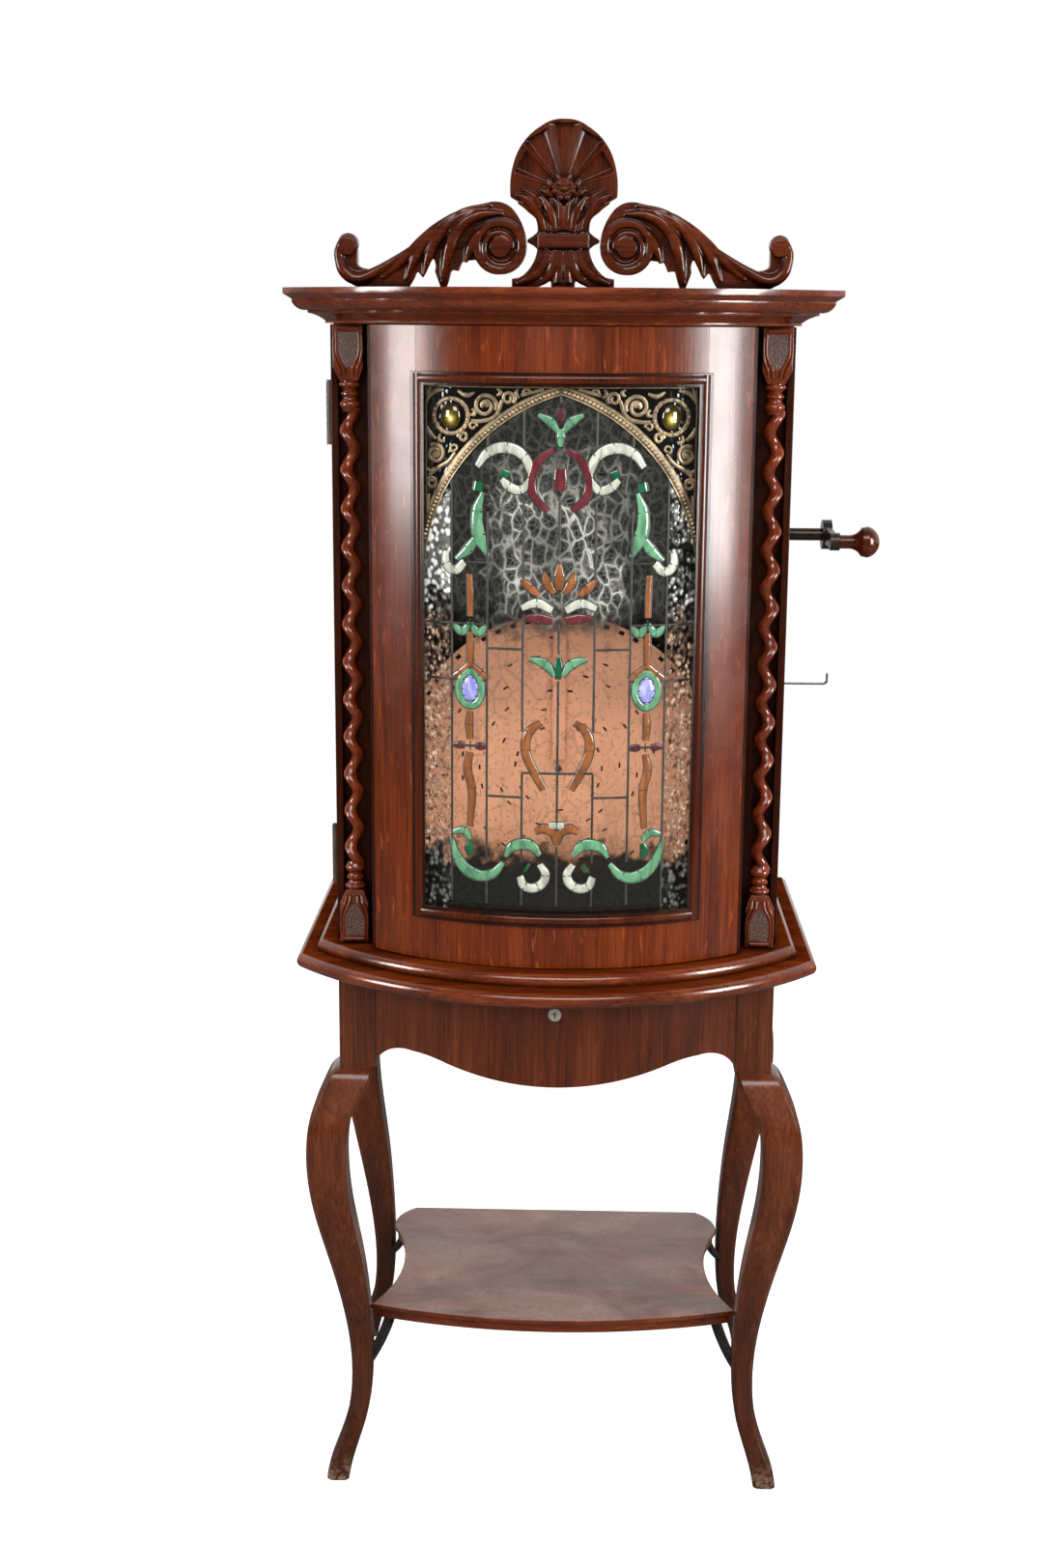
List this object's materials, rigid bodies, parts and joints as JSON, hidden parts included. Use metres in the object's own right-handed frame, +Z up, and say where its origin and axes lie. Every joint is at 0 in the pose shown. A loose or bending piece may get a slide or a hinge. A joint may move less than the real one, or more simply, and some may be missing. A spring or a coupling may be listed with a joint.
{
  "type": "upright disc music box",
  "caption": "Upright disc music box on a cabriole stand: bowed glazed door with twisted columns, drawer, carved crest, side crank, and a geared disc movement inside.",
  "frame": {"origin": "on the floor, midway between the four feet", "axes": "+X to the crank side, -Y out of the door, +Z up"},
  "size_m": [0.7313, 0.601, 1.7446],
  "materials": {
    "oak": "dark red-brown satin",
    "oak_inside": "plain oiled",
    "glass": "leaded art glass",
    "brass": "aged brass",
    "lead": "dull lead",
    "amber": "amber pressed glass",
    "copper_disc": "coppered steel",
    "iron": "japanned",
    "steel": "brushed",
    "knob": "polished dark wood"
  },
  "bodies": {
    "stand": {"leg_front_left": "oak", "leg_front_right": "oak", "leg_rear_left": "oak", "leg_rear_right": "oak", "stand_rails": "oak", "drawer_runners": "oak_inside", "shelf": "oak", "shelf_brackets": "oak", "base_deck": "oak", "case_side_left": "oak", "case_side_right": "oak", "case_back": "oak_inside", "case_top": "oak_inside", "cornice": "oak", "crest_shell": "oak", "crest_stem": "oak", "crest_scrolls": "oak", "hinge_case_leaves": "brass", "hinge_pins": "brass", "bedplate": "iron", "bearers": "iron", "centre_post": "steel", "star_arbor": "steel", "combs": "steel", "bar_bracket": "iron", "motor_plate_inner": "brass", "motor_plate_outer": "brass", "motor_pillars": "steel", "crank_bush": "iron"},
    "door": {"door_stiles": "oak", "door_rails": "oak", "door_posts": "oak", "column_blocks": "oak", "columns": "oak", "window_bead": "oak", "glass_panel": "glass", "arch_band": "brass", "spandrels": "brass", "jewels": "amber", "glass_cames": "lead", "hinge_door_leaves": "brass"},
    "drawer": {"drawer_front": "oak", "drawer_lock": "brass", "drawer_tray": "oak_inside"},
    "disc": {"disc": "copper_disc"},
    "star_wheels": {"star_wheels": "brass"},
    "pressure_bar": {"pressure_bar": "iron"},
    "bar_rollers": {"bar_rollers": "steel"},
    "barrel": {"spring_barrel": "iron", "great_wheel": "brass"},
    "second_arbor": {"second_arbor": "brass"},
    "third_arbor": {"third_arbor": "brass"},
    "drive_wheel": {"drive_wheel": "steel"},
    "fan": {"governor_fan": "steel"},
    "crank": {"winding_shaft": "steel", "ratchet_wheel": "steel", "crank_arm": "iron"},
    "knob": {"crank_knob": "knob"},
    "start_rod": {"start_rod": "steel"},
    "click": {"click": "steel"}
  },
  "joints": [
    {"name": "door_swing", "type": "hinge", "parent": "stand", "child": "door", "pos_m": [-0.2815, -0.165, 1.13], "axis": [0, 0, -1], "range_deg": [0, 105]},
    {"name": "drawer_slide", "type": "slide", "parent": "stand", "child": "drawer", "axis": [0, -1, 0], "range_m": [0, 0.23]},
    {"name": "disc_turn", "type": "hinge", "parent": "stand", "child": "disc", "pos_m": [0, -0.14, 0.963], "axis": [0, 1, 0], "continuous": true},
    {"name": "star_turn", "type": "hinge", "parent": "stand", "child": "star_wheels", "pos_m": [0, -0.1285, 1.075], "axis": [0, 0, 1], "continuous": true},
    {"name": "bar_swing", "type": "hinge", "parent": "stand", "child": "pressure_bar", "pos_m": [0, -0.15, 1.218], "axis": [-1, 0, 0], "range_deg": [0, 30]},
    {"name": "roller_turn", "type": "hinge", "parent": "pressure_bar", "child": "bar_rollers", "pos_m": [0, -0.1469, 1.06], "axis": [0, 0, 1], "continuous": true},
    {"name": "barrel_turn", "type": "hinge", "parent": "stand", "child": "barrel", "pos_m": [0.16, 0, 1.248], "axis": [1, 0, 0], "continuous": true},
    {"name": "second_turn", "type": "hinge", "parent": "stand", "child": "second_arbor", "pos_m": [0.21, -0.00169, 1.13701], "axis": [1, 0, 0], "continuous": true},
    {"name": "third_turn", "type": "hinge", "parent": "stand", "child": "third_arbor", "pos_m": [0.21, -0.04989, 1.06101], "axis": [1, 0, 0], "continuous": true},
    {"name": "drive_turn", "type": "hinge", "parent": "stand", "child": "drive_wheel", "pos_m": [0.21, -0.102, 0.963], "axis": [1, 0, 0], "continuous": true},
    {"name": "fan_turn", "type": "hinge", "parent": "stand", "child": "fan", "pos_m": [0.21, 0.02905, 1.03228], "axis": [1, 0, 0], "continuous": true},
    {"name": "crank_turn", "type": "hinge", "parent": "stand", "child": "crank", "pos_m": [0.3, 0, 1.248], "axis": [1, 0, 0], "continuous": true},
    {"name": "knob_turn", "type": "hinge", "parent": "crank", "child": "knob", "pos_m": [0.37, -0.091, 1.248], "axis": [1, 0, 0], "continuous": true},
    {"name": "start_pull", "type": "slide", "parent": "stand", "child": "start_rod", "axis": [1, 0, 0], "range_m": [0, 0.008]},
    {"name": "click_lift", "type": "hinge", "parent": "stand", "child": "click", "pos_m": [0.239, 0.03268, 1.25737], "axis": [-1, 0, 0], "range_deg": [0, 15]}
  ],
  "couplings": [
    {"joint": "drive_turn", "follows": "disc_turn", "ratio": 5},
    {"joint": "third_turn", "follows": "disc_turn", "ratio": -3.4091},
    {"joint": "second_turn", "follows": "disc_turn", "ratio": 1.0375},
    {"joint": "barrel_turn", "follows": "disc_turn", "ratio": -0.24209},
    {"joint": "fan_turn", "follows": "disc_turn", "ratio": 12.5}
  ]
}
